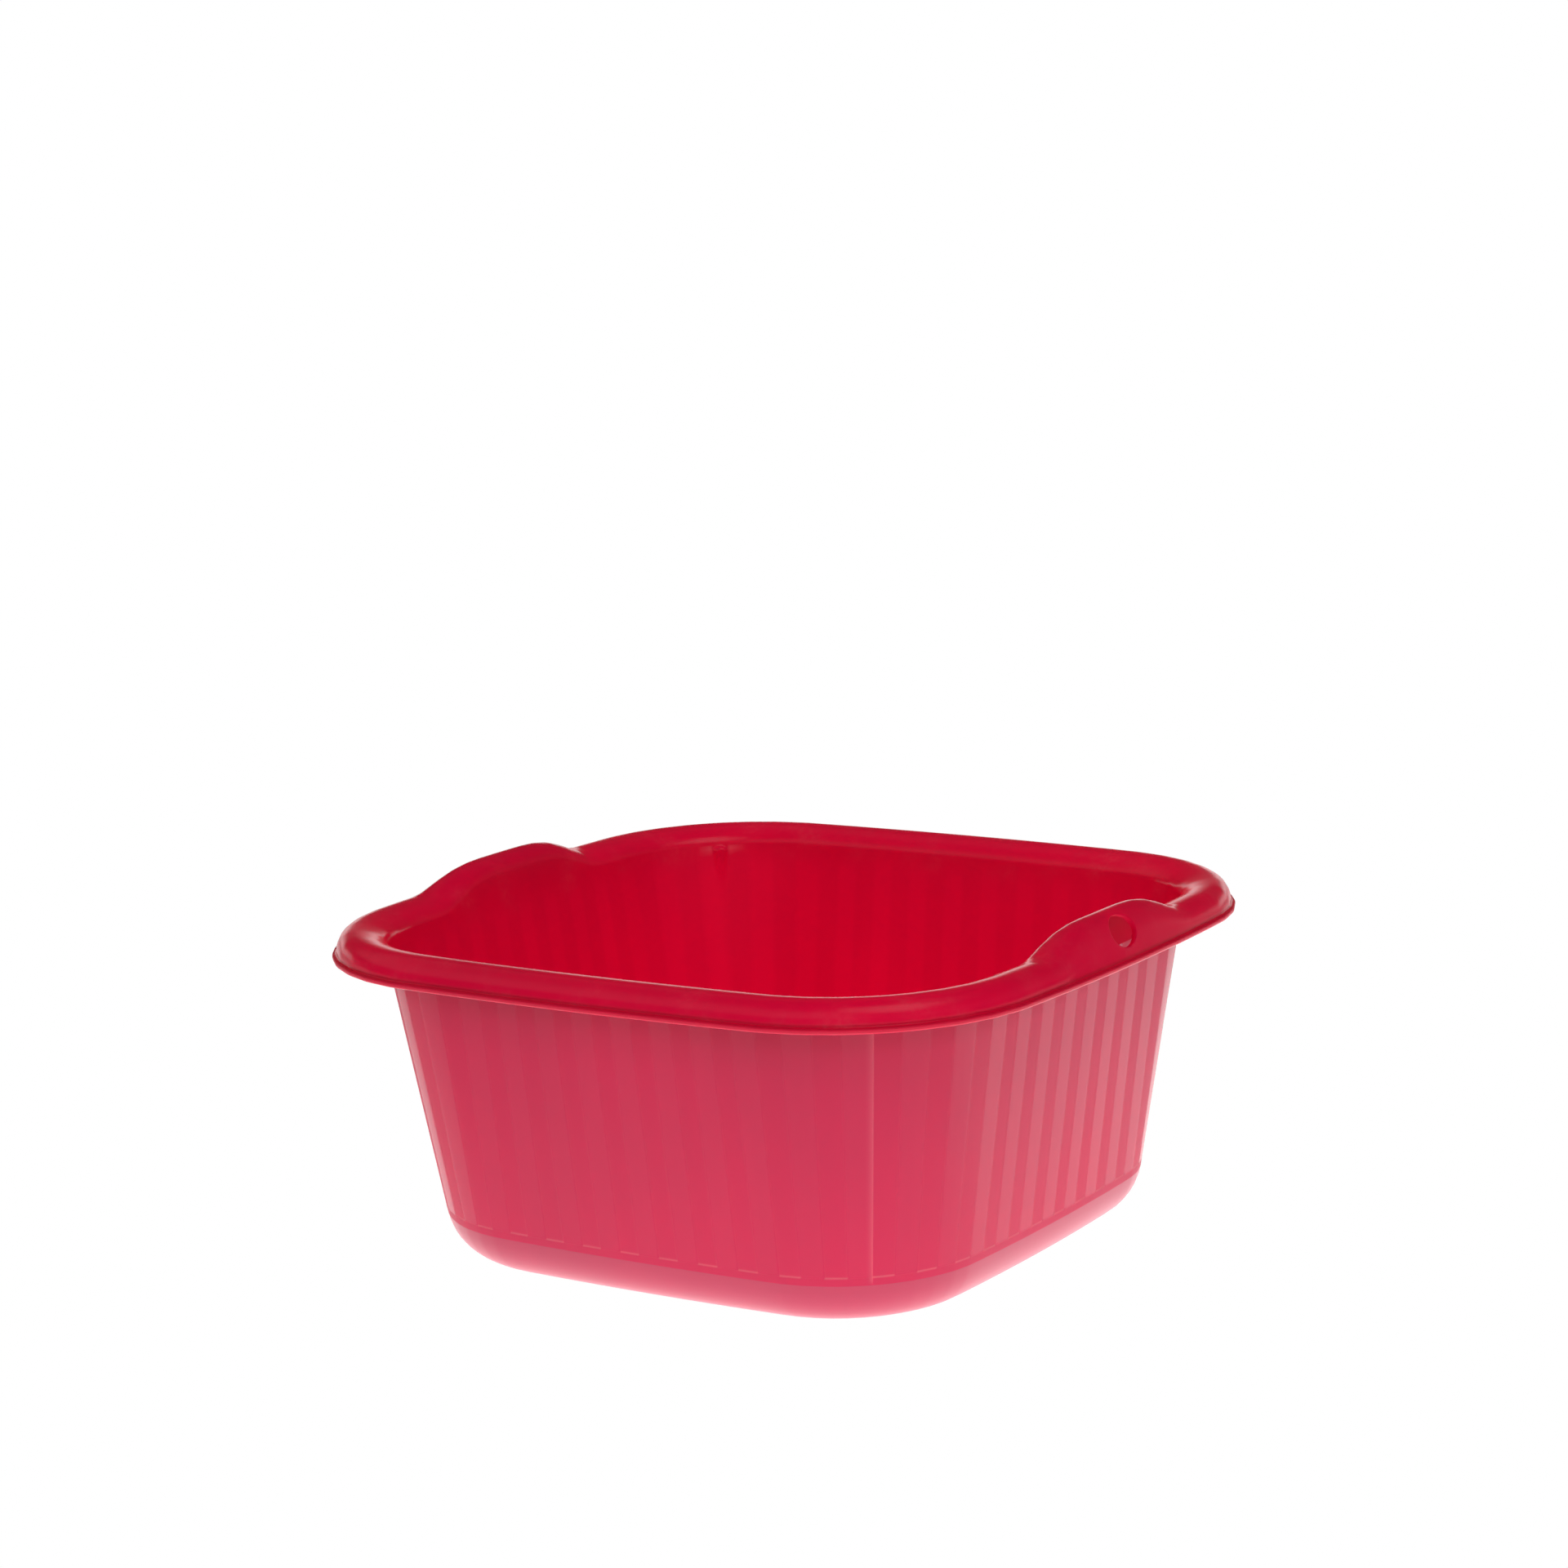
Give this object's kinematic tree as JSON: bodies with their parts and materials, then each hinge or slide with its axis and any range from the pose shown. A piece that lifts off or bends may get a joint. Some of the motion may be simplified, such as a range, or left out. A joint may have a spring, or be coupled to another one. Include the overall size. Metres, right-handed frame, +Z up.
{
  "type": "plastic basin",
  "caption": "Square moulded plastic basin with round corners, a banded tapering wall, a turned-down rim with raised grips, and a hanging hole.",
  "frame": {"origin": "middle of the foot ring, on the ground", "axes": "+Z up out of the open top; +X towards the raised grip with the hanging hole, -X towards the other grip; the plain rims face +Y and -Y"},
  "size_m": [0.323, 0.323, 0.1493],
  "materials": {
    "red_plastic": "satin, slightly translucent polypropylene, with polished raised bands and matte sunken bands outside"
  },
  "bodies": {
    "root": {"basin": "red_plastic"}
  },
  "joints": []
}
